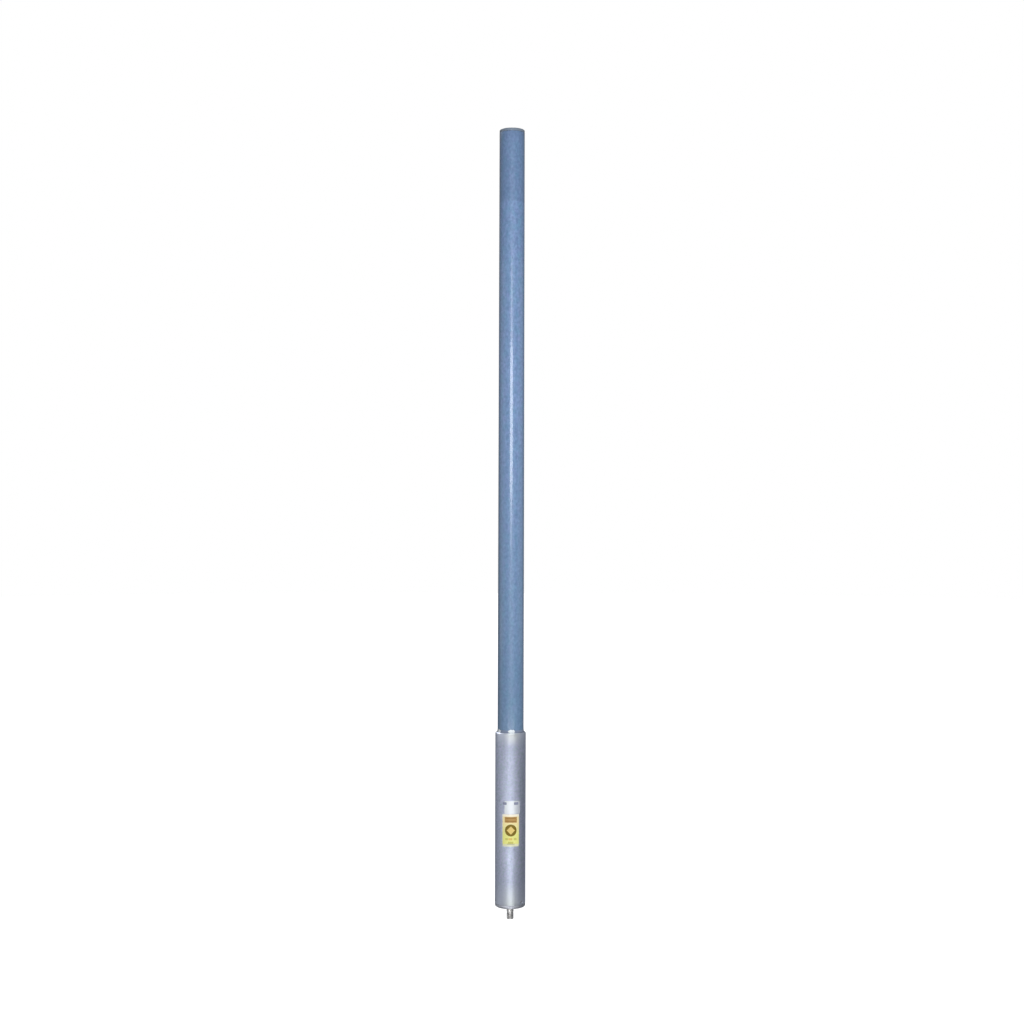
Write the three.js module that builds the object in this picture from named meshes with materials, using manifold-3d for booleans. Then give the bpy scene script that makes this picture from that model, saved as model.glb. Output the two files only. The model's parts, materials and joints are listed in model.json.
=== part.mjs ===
// Base-station omnidirectional antenna for the UHF band: a tapered fibreglass radome bonded into an
// aluminium mounting sleeve, with a fixed N jack in the base plug. Inside is a coaxial collinear array of
// four half-wave sections and a quarter-wave whip, fed through two quarter-wave decoupling skirts.
// Millimetres. The axis of the antenna is Z, and Z is 0 on the flat underside of the base plug.
// The labels face -Y.
import * as THREE from "three";
import { mergeVertices } from "three/addons/utils/BufferGeometryUtils.js";
import Module from "manifold-3d";

const wasm = await Module();
wasm.setup();

// Facets of a full turn: for the outer shell, the pieces inside it, thin rods, and small holes.
const WIDE_FACETS = 48;
const SLIM_FACETS = 24;
const THIN_FACETS = 16;
const HOLE_FACETS = 12;

// Clearance between pieces that touch on the real antenna, and how far a cutting tool overshoots.
const GAP = 0.3;
const OVERCUT = 1;

// Mounting sleeve: a 2.75 in tube with a 3/16 in wall.
const SLEEVE_RADIUS = 34.925;
const SLEEVE_WALL = 4.7625;
const SLEEVE_BORE = SLEEVE_RADIUS - SLEEVE_WALL;
const SLEEVE_TOP = 397.8;
const SLEEVE_CHAMFER = 2.4;
const SLEEVE_EDGE = 0.4;

// Base plug: a flange that closes the sleeve, a spigot inside it, and a shallow recess for the jack.
const FLANGE_HEIGHT = 8;
const FLANGE_EDGE = 4.4;
const FLANGE_RADIUS = SLEEVE_RADIUS - 0.2;
const SPIGOT_TOP = 46;
const SPIGOT_RADIUS = SLEEVE_BORE - GAP;
const WEB_HEIGHT = 6;
const PLUG_BORE = 16;
const JACK_HOLE = 8.3;
const RECESS_RADIUS = 11.4;
const RECESS_DEPTH = 0.4;
const DRAIN_HOLE = 1.6;
const DRAIN_OFFSET = 13.4;
const SLEEVE_BOTTOM = FLANGE_HEIGHT + GAP;

// Set screws that lock the sleeve to the plug, M5 with a hexagon socket.
const SET_SCREW_RADIUS = 2.5;
const SET_SCREW_LENGTH = 12;
const SET_SCREW_HEIGHT = 14.5;
const SET_SCREW_SINK = 0.5;
const SET_SCREW_SOCKET = 1.44;
const SET_SCREW_TURNS = [-43, 77, 197];

// Radome: it stands on the spigot, is straight inside the sleeve and tapers above it.
const RADOME_RADIUS = 29.8;
const RADOME_TIP_RADIUS = 28.75;
const RADOME_WALL = 3.2;
const RADOME_BOTTOM = SPIGOT_TOP + GAP;
const RADOME_TOP = 1763.3;
const RADOME_EDGE = 0.7;

// Top cap and the bead of sealant where the radome leaves the sleeve.
const CAP_HEIGHT = 7.4;
const CAP_RADIUS = RADOME_TIP_RADIUS - 0.15;
const CAP_EDGE = 2;
const CAP_FOOT = 0.5;
const CAP_DOME = 0.9;
const CAP_SPIGOT = 18;
const SEAL_HEIGHT = 6;
const SEAL_WIDTH = 2.1;
const SEAL_HOLLOW_WIDTH = 1;
const SEAL_HOLLOW_HEIGHT = 2.4;

// N jack. Its front face looks down.
const JACK_FRONT = -29.4;
const JACK_THREAD_RADIUS = 7.94;
const JACK_THREAD_EDGE = 0.6;
const JACK_COLLAR_TOP = -1.4;
const JACK_COLLAR_HEIGHT = 3.5;
const JACK_COLLAR_FLATS = 19;
const JACK_REAR = 17;
const JACK_MOUTH = 4.05;
const JACK_MATING_DEPTH = 9.1;
const JACK_LINE = 3.5;
const JACK_SEAT = -13;
const JACK_SEAT_RADIUS = 5;
const CONTACT_DEPTH = 3.8;
const CONTACT_RADIUS = 1.5;
const CONTACT_BORE = 0.83;
const CONTACT_BORE_DEPTH = 6;
const CONTACT_SLOT = 0.4;
const INSULATOR_TOP = 10.6;
const GASKET_SECTION = 0.6;
const GASKET_RADIUS = 8.75;
const WASHER_HEIGHT = 1.2;
const WASHER_RADIUS = 11.8;
const NUT_HEIGHT = 4.8;
const NUT_FLATS = 22;

// Rigid feed line of 6.35 mm copper, from the jack to the foot of the array.
const LINE_RADIUS = 3.175;
const LINE_WALL = 0.5;
const LINE_CORE = 0.82;
const LINE_BOTTOM = INSULATOR_TOP + GAP;
const FERRULE_REACH = 3;

// Radio design: a quarter wave in air, and a half wave in the polyethylene of a section.
const WAVE = 628;
const VELOCITY = 0.66;
const SKIRT_LENGTH = WAVE / 4;
const SECTION_LENGTH = WAVE * VELOCITY / 2;
const WHIP_LENGTH = WAVE * 0.24;
const SECTION_COUNT = 4;
const JUNCTION = 6;

// Decoupling skirts: brass cups that hang open end down on the feed line.
const SKIRT_RADIUS = 19.05;
const SKIRT_WALL = 0.9;
const SKIRT_LID = 1.5;
const SKIRT_EDGE = 1;
const SKIRT_FIRST = 404;
const SKIRT_SPACING = 6.5;
const SKIRT_SPACER_HEIGHT = 8;

// Sections of the array: brass tube, dielectric and centre rod.
const TUBE_RADIUS = 7.95;
const TUBE_WALL = 0.9;
const ROD_RADIUS = 2.1;
const COLLAR_WALL = 3.2;
const COLLAR_REACH = 12;
const LINK_THICKNESS = 1;
const LINK_WIDTH = 3;
const LINK_OVERLAP = 1;
const WHIP_RADIUS = 2.4;

// Foam discs that centre the array in the radome.
const FOAM_HEIGHT = 18;
const FOAM_CLEARANCE = 0.4;

// Bonding strap from the plug to the feed line.
const STRAP_THICKNESS = 1;
const STRAP_WIDTH = 8;
const STRAP_REACH = 24;
const STRAP_LEG = 26;
const STRAP_SCREW_OFFSET = 20.5;
const STRAP_HOLE = 2.3;
const BOND_SCREW_RADIUS = 2;
const BOND_SCREW_DEPTH = 9;
const BOND_HEAD_RADIUS = 3.6;
const BOND_HEAD_HEIGHT = 2.6;
const BAND_HEIGHT = 7;
const BAND_WALL = 1;
const BAND_DROP = 6;

// Labels on the sleeve, each turned by some degrees from the front, towards the right.
const LABEL_THICKNESS = 0.3;
const LABEL_LIFT = 0.12;
const LABEL_FACETS = 12;
const NAMEPLATE = { width: 41.8, bottom: 215.8, height: 30, turn: 4.4 };
const CAUTION = { width: 38.7, bottom: 142.4, height: 72.9, turn: 1.9 };

// Heights that follow from the driving dimensions.
const skirtBottom = (index) => SKIRT_FIRST + index * (SKIRT_LENGTH + SKIRT_SPACING);
const ARRAY_FOOT = skirtBottom(1) + SKIRT_LENGTH;
const sectionBottom = (index) => ARRAY_FOOT + JUNCTION + index * (SECTION_LENGTH + JUNCTION);
const WHIP_BOTTOM = sectionBottom(SECTION_COUNT - 1) + SECTION_LENGTH + JUNCTION / 2;

// Outer radius of the radome at a height.
function radomeRadius(height) {
  const along = Math.max(0, height - SLEEVE_TOP) / (RADOME_TOP - SLEEVE_TOP);
  return RADOME_RADIUS + (RADOME_TIP_RADIUS - RADOME_RADIUS) * along;
}

const paints = {
  radome: { color: 0x7694b8, roughness: 0.42, metalness: 0 },
  cap: { color: 0x56616e, roughness: 0.6, metalness: 0 },
  aluminium: { color: 0xb4b8c8, roughness: 0.4, metalness: 0.9 },
  sealant: { color: 0xd9dadc, roughness: 0.5, metalness: 0 },
  nickel: { color: 0xb9b4ac, roughness: 0.28, metalness: 1 },
  steel: { color: 0x8d9094, roughness: 0.35, metalness: 1 },
  brass: { color: 0xc2a35c, roughness: 0.35, metalness: 1 },
  copper: { color: 0xb97551, roughness: 0.35, metalness: 1 },
  gold: { color: 0xd6b25e, roughness: 0.25, metalness: 1 },
  ptfe: { color: 0xf2f2ee, roughness: 0.55, metalness: 0 },
  acetal: { color: 0x2b2b2d, roughness: 0.5, metalness: 0 },
  foam: { color: 0xe8e4d8, roughness: 0.95, metalness: 0 },
  rubber: { color: 0x1d1d1f, roughness: 0.8, metalness: 0 },
  whiteLabel: { color: 0xe6e7ea, roughness: 0.5, metalness: 0 },
  yellowLabel: { color: 0xebe69b, roughness: 0.5, metalness: 0 },
};

const antenna = new THREE.Group();

function piece(name, geometry, paint) {
  const mesh = new THREE.Mesh(geometry, new THREE.MeshStandardMaterial(paints[paint]));
  mesh.name = name;
  antenna.add(mesh);
  return mesh;
}

// A solid of revolution about Z. The profile is a list of [radius, height] and closes on itself.
function turned(profile, facets) {
  const area = profile.reduce((sum, [radius, height], index) => {
    const [nextRadius, nextHeight] = profile[(index + 1) % profile.length];
    return sum + radius * nextHeight - nextRadius * height;
  }, 0);
  const outline = area > 0 ? profile : [...profile].reverse();
  const points = [...outline, outline[0]].map(([radius, height]) => new THREE.Vector2(radius, height));
  return new THREE.LatheGeometry(points, facets).rotateX(Math.PI / 2);
}

// A ring with a plain rectangular section.
function ring(innerRadius, outerRadius, bottom, top, facets = SLIM_FACETS) {
  return turned([
    [innerRadius, bottom],
    [outerRadius, bottom],
    [outerRadius, top],
    [innerRadius, top],
  ], facets);
}

// A solid round bar along Z.
function bar(radius, bottom, top, facets = THIN_FACETS) {
  const height = top - bottom;
  const geometry = new THREE.CylinderGeometry(radius, radius, height, facets).rotateX(Math.PI / 2);
  return geometry.translate(0, 0, bottom + height / 2);
}

// A hexagonal prism along Z, given the width across its flats.
function hexagon(flats, bottom, top) {
  return bar(flats / Math.sqrt(3), bottom, top, 6);
}

// Points of a quarter circle for a profile, from one angle to another in degrees.
function arc(centreRadius, centreHeight, radius, from, to, steps) {
  return Array.from({ length: steps + 1 }, (_, index) => {
    const angle = THREE.MathUtils.degToRad(from + (to - from) * index / steps);
    return [centreRadius + radius * Math.cos(angle), centreHeight + radius * Math.sin(angle)];
  });
}

function toSolid(geometry) {
  const bare = geometry.clone();
  bare.deleteAttribute("normal");
  bare.deleteAttribute("uv");
  const merged = mergeVertices(bare, 1e-5);
  const vertProperties = new Float32Array(merged.attributes.position.array);
  const triVerts = new Uint32Array(merged.index.array);
  return new wasm.Manifold(new wasm.Mesh({ numProp: 3, vertProperties, triVerts }));
}

function toGeometry(solid) {
  const mesh = solid.getMesh();
  const geometry = new THREE.BufferGeometry();
  geometry.setAttribute("position", new THREE.BufferAttribute(mesh.vertProperties.slice(), 3));
  geometry.setIndex(new THREE.BufferAttribute(mesh.triVerts.slice(), 1));
  geometry.computeVertexNormals();
  return geometry;
}

function joined(...geometries) {
  return toGeometry(geometries.map(toSolid).reduce((whole, next) => whole.add(next)));
}

function cut(geometry, ...tools) {
  return toGeometry(tools.map(toSolid).reduce((whole, tool) => whole.subtract(tool), toSolid(geometry)));
}

// A round bar that lies along a radius of the sleeve at the height of the set screws.
function radialBar(radius, inner, outer, degrees, facets = THIN_FACETS) {
  const geometry = bar(radius, inner, outer, facets).rotateY(Math.PI / 2);
  return geometry.rotateZ(THREE.MathUtils.degToRad(degrees)).translate(0, 0, SET_SCREW_HEIGHT);
}

// Radome, cap, sleeve and seal.
function addShell() {
  const inner = (height) => radomeRadius(height) - RADOME_WALL;
  piece("radome", turned([
    [inner(RADOME_BOTTOM), RADOME_BOTTOM],
    [radomeRadius(RADOME_BOTTOM), RADOME_BOTTOM],
    [RADOME_RADIUS, SLEEVE_TOP],
    [radomeRadius(RADOME_TOP - RADOME_EDGE), RADOME_TOP - RADOME_EDGE],
    [RADOME_TIP_RADIUS - RADOME_EDGE, RADOME_TOP],
    [inner(RADOME_TOP), RADOME_TOP],
    [inner(SLEEVE_TOP), SLEEVE_TOP],
  ], WIDE_FACETS), "radome");

  const capBottom = RADOME_TOP + GAP;
  const capTop = RADOME_TOP + CAP_HEIGHT;
  const spigot = inner(RADOME_TOP) - GAP;
  piece("radome_top_cap", turned([
    [0, capBottom - CAP_SPIGOT],
    [spigot, capBottom - CAP_SPIGOT],
    [spigot, capBottom],
    [CAP_RADIUS - CAP_FOOT, capBottom],
    [CAP_RADIUS, capBottom + CAP_FOOT],
    ...arc(CAP_RADIUS - CAP_EDGE, capTop - CAP_DOME - CAP_EDGE, CAP_EDGE, 0, 90, 4),
    [CAP_RADIUS / 2, capTop - CAP_DOME / 4],
    [0, capTop],
  ], WIDE_FACETS), "cap");

  const holes = SET_SCREW_TURNS.map((turn) => {
    return radialBar(SET_SCREW_RADIUS + GAP, SLEEVE_BORE - OVERCUT, SLEEVE_RADIUS + OVERCUT, turn);
  });
  piece("mounting_sleeve", cut(turned([
    [SLEEVE_BORE, SLEEVE_BOTTOM],
    [SLEEVE_RADIUS - SLEEVE_EDGE, SLEEVE_BOTTOM],
    [SLEEVE_RADIUS, SLEEVE_BOTTOM + SLEEVE_EDGE],
    [SLEEVE_RADIUS, SLEEVE_TOP - SLEEVE_CHAMFER],
    [SLEEVE_RADIUS - SLEEVE_CHAMFER, SLEEVE_TOP],
    [SLEEVE_BORE, SLEEVE_TOP],
  ], WIDE_FACETS), ...holes), "aluminium");

  const sealFoot = SLEEVE_TOP + GAP;
  const sealRadius = radomeRadius(sealFoot) + GAP / 2;
  piece("weather_seal", turned([
    [sealRadius, sealFoot],
    [sealRadius + SEAL_WIDTH, sealFoot],
    [sealRadius + SEAL_HOLLOW_WIDTH, sealFoot + SEAL_HOLLOW_HEIGHT],
    [sealRadius, sealFoot + SEAL_HEIGHT],
  ], WIDE_FACETS), "sealant");
}

// Base plug with its drain holes, and the set screws that hold it.
function addBase() {
  const drains = [90, 270].map((degrees) => {
    const angle = THREE.MathUtils.degToRad(degrees);
    const hole = bar(DRAIN_HOLE, -OVERCUT, WEB_HEIGHT + OVERCUT, HOLE_FACETS);
    return hole.translate(DRAIN_OFFSET * Math.cos(angle), DRAIN_OFFSET * Math.sin(angle), 0);
  });
  const screwRoot = SLEEVE_RADIUS - SET_SCREW_SINK - SET_SCREW_LENGTH;
  const sockets = SET_SCREW_TURNS.map((turn) => {
    return radialBar(SET_SCREW_RADIUS + GAP, screwRoot - GAP, SLEEVE_RADIUS, turn);
  });
  const tappedBottom = SPIGOT_TOP - BOND_SCREW_DEPTH - OVERCUT;
  const tapped = bar(BOND_SCREW_RADIUS + GAP, tappedBottom, SPIGOT_TOP + OVERCUT, HOLE_FACETS);
  tapped.translate(STRAP_SCREW_OFFSET, 0, 0);
  piece("base_plug", cut(turned([
    [JACK_HOLE, RECESS_DEPTH],
    [RECESS_RADIUS, RECESS_DEPTH],
    [RECESS_RADIUS, 0],
    [FLANGE_RADIUS - FLANGE_EDGE, 0],
    ...arc(FLANGE_RADIUS - FLANGE_EDGE, FLANGE_EDGE, FLANGE_EDGE, -90, 0, 6).slice(1),
    [FLANGE_RADIUS, FLANGE_HEIGHT],
    [SPIGOT_RADIUS, FLANGE_HEIGHT],
    [SPIGOT_RADIUS, SPIGOT_TOP],
    [PLUG_BORE, SPIGOT_TOP],
    [PLUG_BORE, WEB_HEIGHT],
    [JACK_HOLE, WEB_HEIGHT],
  ], WIDE_FACETS), ...drains, ...sockets, tapped), "aluminium");

  SET_SCREW_TURNS.forEach((turn, index) => {
    const tip = SLEEVE_RADIUS - SET_SCREW_SINK;
    const socket = radialBar(SET_SCREW_SOCKET, tip - SET_SCREW_RADIUS, tip + OVERCUT, turn, 6);
    const shank = radialBar(SET_SCREW_RADIUS, screwRoot, tip, turn);
    piece(`sleeve_set_screw_${index + 1}`, cut(shank, socket), "steel");
  });
}

// N jack: body, insulator, centre contact, gasket, washer and nut.
function addJack() {
  const matingPlane = JACK_FRONT + JACK_MATING_DEPTH;
  const barrel = turned([
    [JACK_MOUTH, JACK_FRONT],
    [JACK_THREAD_RADIUS - JACK_THREAD_EDGE, JACK_FRONT],
    [JACK_THREAD_RADIUS, JACK_FRONT + JACK_THREAD_EDGE],
    [JACK_THREAD_RADIUS, JACK_REAR],
    [JACK_SEAT_RADIUS, JACK_REAR],
    [JACK_SEAT_RADIUS, JACK_SEAT],
    [JACK_LINE, JACK_SEAT],
    [JACK_LINE, matingPlane],
    [JACK_MOUTH, matingPlane],
  ], SLIM_FACETS);
  const collarBottom = JACK_COLLAR_TOP - JACK_COLLAR_HEIGHT;
  const collar = cut(hexagon(JACK_COLLAR_FLATS, collarBottom, JACK_COLLAR_TOP),
    bar(JACK_THREAD_RADIUS - 1, collarBottom - OVERCUT, JACK_COLLAR_TOP + OVERCUT, SLIM_FACETS));
  piece("n_jack_body", joined(barrel, collar), "nickel");

  const boreRadius = CONTACT_RADIUS + GAP;
  const seatRadius = JACK_SEAT_RADIUS - GAP;
  const insulator = ring(boreRadius, seatRadius, JACK_SEAT + GAP, INSULATOR_TOP, THIN_FACETS);
  piece("n_jack_insulator", insulator, "ptfe");

  const contactTip = JACK_FRONT + CONTACT_DEPTH;
  const slot = new THREE.BoxGeometry(CONTACT_RADIUS * 4, CONTACT_SLOT, CONTACT_BORE_DEPTH);
  slot.translate(0, 0, contactTip + CONTACT_BORE_DEPTH / 2 - OVERCUT);
  const crossSlot = slot.clone().rotateZ(Math.PI / 2);
  const bore = bar(CONTACT_BORE, contactTip - OVERCUT, contactTip + CONTACT_BORE_DEPTH);
  const pin = bar(CONTACT_RADIUS, contactTip, INSULATOR_TOP);
  piece("n_jack_centre_contact", cut(pin, bore, slot, crossSlot), "gold");

  const gasketHeight = JACK_COLLAR_TOP / 2;
  const section = arc(GASKET_RADIUS, gasketHeight, GASKET_SECTION, 0, 300, 5);
  piece("n_jack_gasket", turned(section, SLIM_FACETS), "rubber");

  const washerBottom = WEB_HEIGHT + GAP;
  const nutBottom = washerBottom + WASHER_HEIGHT + GAP;
  const nutTop = nutBottom + NUT_HEIGHT;
  const washer = ring(JACK_HOLE, WASHER_RADIUS, washerBottom, washerBottom + WASHER_HEIGHT);
  piece("n_jack_washer", washer, "steel");
  const nutBore = bar(JACK_HOLE, nutBottom - OVERCUT, nutTop + OVERCUT, SLIM_FACETS);
  piece("n_jack_nut", cut(hexagon(NUT_FLATS, nutBottom, nutTop), nutBore), "nickel");
}

// Feed line, its ferrule in the rear of the jack, and the bonding strap to the plug.
function addFeedLine() {
  const lineInner = LINE_RADIUS - LINE_WALL;
  const lineTop = ARRAY_FOOT;
  piece("feed_line_shield", ring(lineInner, LINE_RADIUS, LINE_BOTTOM, lineTop, THIN_FACETS), "copper");
  const dielectric = ring(LINE_CORE + GAP, lineInner - GAP, LINE_BOTTOM, lineTop, THIN_FACETS);
  piece("feed_line_dielectric", dielectric, "ptfe");
  piece("feed_line_core", bar(LINE_CORE, LINE_BOTTOM, lineTop), "copper");
  const ferruleTop = JACK_REAR + FERRULE_REACH;
  const ferrule = ring(LINE_RADIUS + GAP, JACK_SEAT_RADIUS - GAP, LINE_BOTTOM, ferruleTop, THIN_FACETS);
  piece("feed_line_ferrule", ferrule, "brass");

  const footBottom = SPIGOT_TOP + GAP;
  const strapTop = footBottom + STRAP_THICKNESS;
  const legInner = LINE_RADIUS + GAP;
  const outline = new THREE.Shape();
  outline.moveTo(legInner, footBottom);
  outline.lineTo(STRAP_REACH, footBottom);
  outline.lineTo(STRAP_REACH, strapTop);
  outline.lineTo(legInner + STRAP_THICKNESS, strapTop);
  outline.lineTo(legInner + STRAP_THICKNESS, footBottom + STRAP_LEG);
  outline.lineTo(legInner, footBottom + STRAP_LEG);
  const strap = flatStrip(outline, STRAP_WIDTH);
  const hole = bar(STRAP_HOLE, footBottom - OVERCUT, strapTop + OVERCUT, HOLE_FACETS);
  piece("bonding_strap", cut(strap, hole.translate(STRAP_SCREW_OFFSET, 0, 0)), "copper");

  const headBottom = strapTop + GAP;
  const shank = bar(BOND_SCREW_RADIUS, SPIGOT_TOP - BOND_SCREW_DEPTH, headBottom + BOND_HEAD_HEIGHT / 2);
  const head = bar(BOND_HEAD_RADIUS, headBottom, headBottom + BOND_HEAD_HEIGHT);
  const screw = joined(shank, head).translate(STRAP_SCREW_OFFSET, 0, 0);
  piece("bonding_screw", screw, "steel");

  const bandInner = Math.hypot(legInner + STRAP_THICKNESS, STRAP_WIDTH / 2) + GAP;
  const bandBottom = footBottom + STRAP_LEG - BAND_HEIGHT - BAND_DROP;
  const band = ring(bandInner, bandInner + BAND_WALL, bandBottom, bandBottom + BAND_HEIGHT);
  piece("bonding_band", band, "steel");
}

// A strip bent to an outline in the XZ plane, as wide as given along Y.
function flatStrip(outline, width) {
  const geometry = new THREE.ExtrudeGeometry(outline, { depth: width, bevelEnabled: false });
  return geometry.translate(0, 0, -width / 2).rotateX(Math.PI / 2);
}

// Decoupling skirts and the spacers at their open ends.
function addSkirts() {
  for (let index = 0; index < 2; index += 1) {
    const bottom = skirtBottom(index);
    const top = bottom + SKIRT_LENGTH;
    const inner = SKIRT_RADIUS - SKIRT_WALL;
    const hole = LINE_RADIUS + GAP;
    const name = index === 0 ? "lower" : "upper";
    piece(`decoupling_skirt_${name}`, turned([
      [inner, bottom],
      [SKIRT_RADIUS, bottom],
      [SKIRT_RADIUS, top - SKIRT_EDGE],
      [SKIRT_RADIUS - SKIRT_EDGE, top],
      [hole, top],
      [hole, top - SKIRT_LID],
      [inner, top - SKIRT_LID],
    ], SLIM_FACETS), "brass");
    const spacerTop = bottom + GAP + SKIRT_SPACER_HEIGHT;
    piece(`skirt_spacer_${name}`, ring(hole, inner - GAP, bottom + GAP, spacerTop), "ptfe");
  }
}

// One crossover link: a strip from the axis out to the wall of a tube, then along it.
function crossoverLink(bottom, outerRadius, rising) {
  const depth = JUNCTION - 2 * GAP;
  const stripBottom = GAP;
  const stripTop = GAP + LINK_THICKNESS / 2;
  const outline = new THREE.Shape();
  outline.moveTo(-LINK_OVERLAP, stripTop);
  outline.lineTo(outerRadius - LINK_THICKNESS, stripTop);
  outline.lineTo(outerRadius - LINK_THICKNESS, depth);
  outline.lineTo(outerRadius, depth);
  outline.lineTo(outerRadius, stripTop);
  outline.lineTo(outerRadius - LINK_THICKNESS / 2, stripBottom);
  outline.lineTo(-LINK_OVERLAP, stripBottom);
  const strip = flatStrip(outline, LINK_WIDTH);
  if (rising) {
    return strip.translate(0, 0, bottom + GAP);
  }
  return strip.rotateY(Math.PI).translate(0, 0, bottom + JUNCTION - GAP);
}

// Half-wave sections with the collars and crossover links between them.
function addSections() {
  for (let index = 0; index < SECTION_COUNT; index += 1) {
    const bottom = sectionBottom(index);
    const top = bottom + SECTION_LENGTH;
    const inner = TUBE_RADIUS - TUBE_WALL;
    const number = index + 1;
    piece(`section_${number}_tube`, ring(inner, TUBE_RADIUS, bottom, top), "brass");
    const dielectric = ring(ROD_RADIUS + GAP, inner - GAP, bottom + GAP, top - GAP);
    piece(`section_${number}_dielectric`, dielectric, "ptfe");
    piece(`section_${number}_rod`, bar(ROD_RADIUS, bottom, top), "copper");

    const gapBottom = bottom - JUNCTION;
    const lowerRadius = index === 0 ? LINE_RADIUS : TUBE_RADIUS;
    piece(`crossover_${number}_a`, crossoverLink(gapBottom, TUBE_RADIUS, true), "copper");
    piece(`crossover_${number}_b`, crossoverLink(gapBottom, lowerRadius, false), "copper");
    const reach = index === 0 ? 0 : COLLAR_REACH;
    const collarInner = TUBE_RADIUS + GAP;
    const collarBottom = gapBottom - reach + (index === 0 ? GAP : 0);
    const collar = ring(collarInner, collarInner + COLLAR_WALL, collarBottom, bottom + COLLAR_REACH);
    piece(`junction_collar_${number}`, collar, "acetal");
  }
}

// Top whip and the holder that carries it on the last section.
function addWhip() {
  const lastTop = WHIP_BOTTOM - JUNCTION / 2;
  const holderOuter = TUBE_RADIUS + GAP + COLLAR_WALL;
  piece("top_whip", bar(WHIP_RADIUS, lastTop + GAP, WHIP_BOTTOM + WHIP_LENGTH), "brass");
  piece("whip_holder", turned([
    [TUBE_RADIUS + GAP, lastTop - COLLAR_REACH],
    [holderOuter, lastTop - COLLAR_REACH],
    [holderOuter, lastTop + COLLAR_REACH],
    [WHIP_RADIUS + GAP, lastTop + COLLAR_REACH],
    [WHIP_RADIUS + GAP, lastTop + GAP],
    [TUBE_RADIUS + GAP, lastTop + GAP],
  ], SLIM_FACETS), "acetal");
}

// Foam discs: one on the bare feed line, one on the upper skirt, one on each section and one on the whip.
function addFoam() {
  const places = [
    { radius: LINE_RADIUS, middle: (SPIGOT_TOP + SKIRT_FIRST) / 2 },
    { radius: SKIRT_RADIUS, middle: skirtBottom(1) + SKIRT_LENGTH / 2 },
  ];
  for (let index = 0; index < SECTION_COUNT; index += 1) {
    places.push({ radius: TUBE_RADIUS, middle: sectionBottom(index) + SECTION_LENGTH / 2 });
  }
  places.push({ radius: WHIP_RADIUS, middle: WHIP_BOTTOM + WHIP_LENGTH - FOAM_HEIGHT });
  places.forEach(({ radius, middle }, index) => {
    const top = middle + FOAM_HEIGHT / 2;
    const outer = radomeRadius(top) - RADOME_WALL - FOAM_CLEARANCE;
    piece(`foam_disc_${index + 1}`, ring(radius + GAP, outer, middle - FOAM_HEIGHT / 2, top), "foam");
  });
}

// A thin patch that follows the sleeve.
function label(name, { width, bottom, height, turn }, paint) {
  const inner = SLEEVE_RADIUS + LABEL_LIFT;
  const outer = inner + LABEL_THICKNESS;
  const halfAngle = width / 2 / SLEEVE_RADIUS;
  const middle = THREE.MathUtils.degToRad(turn - 90);
  const outline = new THREE.Shape();
  const along = (radius, step) => {
    const angle = middle - halfAngle + 2 * halfAngle * step / LABEL_FACETS;
    return [radius * Math.cos(angle), radius * Math.sin(angle)];
  };
  outline.moveTo(...along(outer, 0));
  for (let step = 1; step <= LABEL_FACETS; step += 1) {
    outline.lineTo(...along(outer, step));
  }
  for (let step = LABEL_FACETS; step >= 0; step -= 1) {
    outline.lineTo(...along(inner, step));
  }
  const geometry = new THREE.ExtrudeGeometry(outline, { depth: height, bevelEnabled: false });
  piece(name, geometry.translate(0, 0, bottom), paint);
}

addShell();
addBase();
addJack();
addFeedLine();
addSkirts();
addSections();
addWhip();
addFoam();
label("nameplate_label", NAMEPLATE, "whiteLabel");
label("caution_label", CAUTION, "yellowLabel");

export default antenna;
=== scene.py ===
"""Looks of the base-station omni antenna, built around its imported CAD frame.

Everything is in metres in the CAD frame: the antenna's axis is Z, Z is 0 on the underside of the base plug,
and the labels face -Y. Flat prints on the labels are thin solids of their own, and carry no lettering.
"""
import json
import math

import bmesh
import bpy
from mathutils import Matrix, Vector


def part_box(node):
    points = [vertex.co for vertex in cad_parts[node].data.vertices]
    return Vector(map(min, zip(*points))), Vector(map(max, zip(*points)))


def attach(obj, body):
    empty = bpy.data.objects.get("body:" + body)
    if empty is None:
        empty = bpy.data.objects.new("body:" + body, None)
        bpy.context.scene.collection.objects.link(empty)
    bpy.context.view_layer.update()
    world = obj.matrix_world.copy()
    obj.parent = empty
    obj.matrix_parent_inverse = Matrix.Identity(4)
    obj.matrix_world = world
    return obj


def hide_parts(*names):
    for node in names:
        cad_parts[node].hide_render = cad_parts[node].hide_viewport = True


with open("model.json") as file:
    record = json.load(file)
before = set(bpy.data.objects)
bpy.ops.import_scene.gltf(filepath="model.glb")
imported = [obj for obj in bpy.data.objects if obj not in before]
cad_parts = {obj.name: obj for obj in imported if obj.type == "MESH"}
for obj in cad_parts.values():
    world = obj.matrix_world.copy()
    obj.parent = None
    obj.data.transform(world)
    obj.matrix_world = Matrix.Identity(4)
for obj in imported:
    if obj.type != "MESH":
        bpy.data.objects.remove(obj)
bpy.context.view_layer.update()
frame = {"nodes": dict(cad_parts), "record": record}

# ---------------------------------------------------------------------------------------------------
# Driving sizes. The places of the CAD pieces come from the frame.
# ---------------------------------------------------------------------------------------------------

MM = 0.001
FULL_TURN = 2 * math.pi
SMOOTH_STEPS = 144
SMALL_STEPS = 64

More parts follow.
